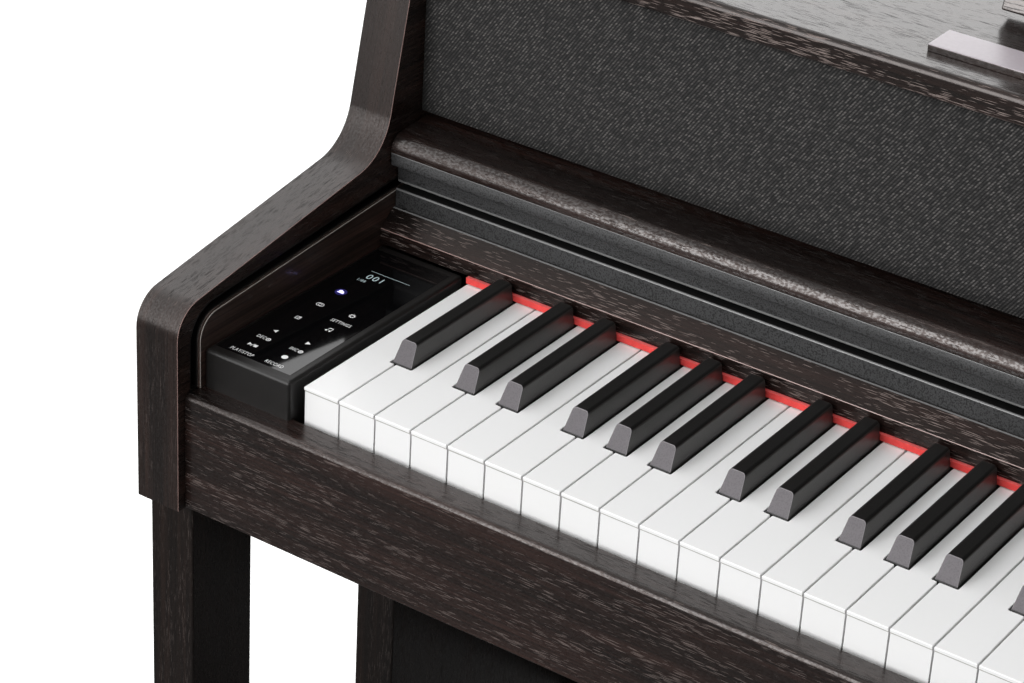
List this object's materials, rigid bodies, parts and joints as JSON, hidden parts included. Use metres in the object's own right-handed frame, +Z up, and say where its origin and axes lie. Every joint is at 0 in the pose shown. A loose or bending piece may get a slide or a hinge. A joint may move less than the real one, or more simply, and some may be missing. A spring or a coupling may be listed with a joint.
{
  "type": "digital piano on stand",
  "caption": "Digital console piano on a wooden stand, with hinged keys between two arms, a sliding lid, speaker cloth, a folding music desk and pedals.",
  "frame": {"origin": "on the floor, under the middle of the piano", "axes": "+X along the keyboard towards the high notes, +Y towards the back, +Z up"},
  "size_m": [1.4152, 0.5, 1.1065],
  "materials": {
    "dark_wood": "satin",
    "board_wood": "matte",
    "white_key": "satin",
    "black_key": "matte",
    "black_plastic": "satin",
    "textured_plastic": "textured",
    "black_glass": "gloss",
    "red_felt": "felt",
    "speaker_cloth": "woven",
    "speaker_black": "matte",
    "ledge_gloss": "gloss",
    "steel": "satin",
    "black_metal": "satin",
    "brass": "polished",
    "rubber": "matte",
    "circuit_board": "satin"
  },
  "bodies": {
    "case": {"back_board": "board_wood", "baffle_board": "board_wood", "cheek_block_left": "black_plastic", "cheek_block_right": "black_plastic", "circuit_boards": "circuit_board", "desk_hinge_bases": "steel", "foot_left": "dark_wood", "foot_right": "dark_wood", "front_leg_left": "dark_wood", "front_leg_right": "dark_wood", "glides": "rubber", "inner_boards": "dark_wood", "jack_panel": "black_metal", "key_chassis": "black_metal", "key_slip": "dark_wood", "keybed": "board_wood", "lid_tracks": "black_plastic", "lower_back_panel": "dark_wood", "music_ledge": "ledge_gloss", "nameboard": "dark_wood", "nameboard_felt": "red_felt", "pedal_box": "dark_wood", "pedal_shaft": "steel", "rear_board_left": "dark_wood", "rear_board_right": "dark_wood", "rest_strip": "textured_plastic", "screws": "steel", "side_panel_left": "dark_wood", "side_panel_right": "dark_wood", "speaker_cloth": "speaker_cloth", "speakers": "speaker_black", "top_board": "dark_wood", "touch_panel": "black_glass"},
    "key_a0": {"key_a0": "white_key"},
    "key_a1": {"key_a1": "white_key"},
    "key_a_sharp0": {"key_a_sharp0": "black_key"},
    "key_b0": {"key_b0": "white_key"},
    "key_c1": {"key_c1": "white_key"},
    "key_c_sharp1": {"key_c_sharp1": "black_key"},
    "key_d1": {"key_d1": "white_key"},
    "key_d_sharp1": {"key_d_sharp1": "black_key"},
    "key_e1": {"key_e1": "white_key"},
    "key_f1": {"key_f1": "white_key"},
    "key_f_sharp1": {"key_f_sharp1": "black_key"},
    "key_g1": {"key_g1": "white_key"},
    "key_g_sharp1": {"key_g_sharp1": "black_key"},
    "keys_black_middle": {"keys_black_middle": "black_key"},
    "keys_black_upper": {"keys_black_upper": "black_key"},
    "keys_white_middle": {"keys_white_middle": "white_key"},
    "keys_white_upper": {"keys_white_upper": "white_key"},
    "lid": {"lid_panel": "dark_wood", "lid_trim": "textured_plastic", "lid_pins": "steel"},
    "music_desk": {"music_desk": "dark_wood", "desk_hinge_knuckles": "steel"},
    "pedal_left": {"pedal_left": "brass"},
    "pedal_middle": {"pedal_middle": "brass"},
    "pedal_right": {"pedal_right": "brass"},
    "power_button": {"power_button": "black_plastic"},
    "volume_knob": {"volume_knob": "black_plastic"}
  },
  "joints": [
    {"name": "key_a0_press", "type": "hinge", "parent": "case", "child": "key_a0", "pos_m": [0, -0.0138, 0.716], "axis": [1, 0, 0], "range_deg": [0, 2.6], "stiffness_Nm_per_rad": 1, "springref_deg": -14.32},
    {"name": "key_a1_press", "type": "hinge", "parent": "case", "child": "key_a1", "pos_m": [0, -0.0138, 0.716], "axis": [1, 0, 0], "range_deg": [0, 2.6], "stiffness_Nm_per_rad": 1, "springref_deg": -14.32},
    {"name": "key_a_sharp0_press", "type": "hinge", "parent": "case", "child": "key_a_sharp0", "pos_m": [0, -0.0138, 0.716], "axis": [1, 0, 0], "range_deg": [0, 2.6], "stiffness_Nm_per_rad": 0.8, "springref_deg": -14.32},
    {"name": "key_b0_press", "type": "hinge", "parent": "case", "child": "key_b0", "pos_m": [0, -0.0138, 0.716], "axis": [1, 0, 0], "range_deg": [0, 2.6], "stiffness_Nm_per_rad": 1, "springref_deg": -14.32},
    {"name": "key_c1_press", "type": "hinge", "parent": "case", "child": "key_c1", "pos_m": [0, -0.0138, 0.716], "axis": [1, 0, 0], "range_deg": [0, 2.6], "stiffness_Nm_per_rad": 1, "springref_deg": -14.32},
    {"name": "key_c_sharp1_press", "type": "hinge", "parent": "case", "child": "key_c_sharp1", "pos_m": [0, -0.0138, 0.716], "axis": [1, 0, 0], "range_deg": [0, 2.6], "stiffness_Nm_per_rad": 0.8, "springref_deg": -14.32},
    {"name": "key_d1_press", "type": "hinge", "parent": "case", "child": "key_d1", "pos_m": [0, -0.0138, 0.716], "axis": [1, 0, 0], "range_deg": [0, 2.6], "stiffness_Nm_per_rad": 1, "springref_deg": -14.32},
    {"name": "key_d_sharp1_press", "type": "hinge", "parent": "case", "child": "key_d_sharp1", "pos_m": [0, -0.0138, 0.716], "axis": [1, 0, 0], "range_deg": [0, 2.6], "stiffness_Nm_per_rad": 0.8, "springref_deg": -14.32},
    {"name": "key_e1_press", "type": "hinge", "parent": "case", "child": "key_e1", "pos_m": [0, -0.0138, 0.716], "axis": [1, 0, 0], "range_deg": [0, 2.6], "stiffness_Nm_per_rad": 1, "springref_deg": -14.32},
    {"name": "key_f1_press", "type": "hinge", "parent": "case", "child": "key_f1", "pos_m": [0, -0.0138, 0.716], "axis": [1, 0, 0], "range_deg": [0, 2.6], "stiffness_Nm_per_rad": 1, "springref_deg": -14.32},
    {"name": "key_f_sharp1_press", "type": "hinge", "parent": "case", "child": "key_f_sharp1", "pos_m": [0, -0.0138, 0.716], "axis": [1, 0, 0], "range_deg": [0, 2.6], "stiffness_Nm_per_rad": 0.8, "springref_deg": -14.32},
    {"name": "key_g1_press", "type": "hinge", "parent": "case", "child": "key_g1", "pos_m": [0, -0.0138, 0.716], "axis": [1, 0, 0], "range_deg": [0, 2.6], "stiffness_Nm_per_rad": 1, "springref_deg": -14.32},
    {"name": "key_g_sharp1_press", "type": "hinge", "parent": "case", "child": "key_g_sharp1", "pos_m": [0, -0.0138, 0.716], "axis": [1, 0, 0], "range_deg": [0, 2.6], "stiffness_Nm_per_rad": 0.8, "springref_deg": -14.32},
    {"name": "keys_black_middle_press", "type": "hinge", "parent": "case", "child": "keys_black_middle", "pos_m": [0, -0.0138, 0.716], "axis": [1, 0, 0], "range_deg": [0, 2.6], "stiffness_Nm_per_rad": 12.8, "springref_deg": -14.32},
    {"name": "keys_black_upper_press", "type": "hinge", "parent": "case", "child": "keys_black_upper", "pos_m": [0, -0.0138, 0.716], "axis": [1, 0, 0], "range_deg": [0, 2.6], "stiffness_Nm_per_rad": 12, "springref_deg": -14.32},
    {"name": "keys_white_middle_press", "type": "hinge", "parent": "case", "child": "keys_white_middle", "pos_m": [0, -0.0138, 0.716], "axis": [1, 0, 0], "range_deg": [0, 2.6], "stiffness_Nm_per_rad": 22, "springref_deg": -14.32},
    {"name": "keys_white_upper_press", "type": "hinge", "parent": "case", "child": "keys_white_upper", "pos_m": [0, -0.0138, 0.716], "axis": [1, 0, 0], "range_deg": [0, 2.6], "stiffness_Nm_per_rad": 22, "springref_deg": -14.32},
    {"name": "lid_slide", "type": "slide", "parent": "case", "child": "lid", "axis": [0, -0.9979, -0.0654], "range_m": [0, 0.165]},
    {"name": "desk_fold", "type": "hinge", "parent": "case", "child": "music_desk", "pos_m": [0, 0.056, 0.9272], "axis": [1, 0, 0], "range_deg": [-70, 0]},
    {"name": "pedal_left_press", "type": "hinge", "parent": "case", "child": "pedal_left", "pos_m": [-0.078, 0.1542, 0.0865], "axis": [1, 0, 0], "range_deg": [0, 5], "stiffness_Nm_per_rad": 10, "springref_deg": -5.73},
    {"name": "pedal_middle_press", "type": "hinge", "parent": "case", "child": "pedal_middle", "pos_m": [0, 0.1542, 0.0865], "axis": [1, 0, 0], "range_deg": [0, 5], "stiffness_Nm_per_rad": 10, "springref_deg": -5.73},
    {"name": "pedal_right_press", "type": "hinge", "parent": "case", "child": "pedal_right", "pos_m": [0.078, 0.1542, 0.0865], "axis": [1, 0, 0], "range_deg": [0, 5], "stiffness_Nm_per_rad": 10, "springref_deg": -5.73},
    {"name": "power_button_press", "type": "slide", "parent": "case", "child": "power_button", "axis": [0, 0, -1], "range_m": [0, 0.0015], "stiffness_N_per_m": 400, "springref_m": -0.004},
    {"name": "volume_turn", "type": "hinge", "parent": "case", "child": "volume_knob", "pos_m": [0.6444, -0.1618, 0.728], "axis": [0, 0, 1], "range_deg": [-150, 150]}
  ]
}
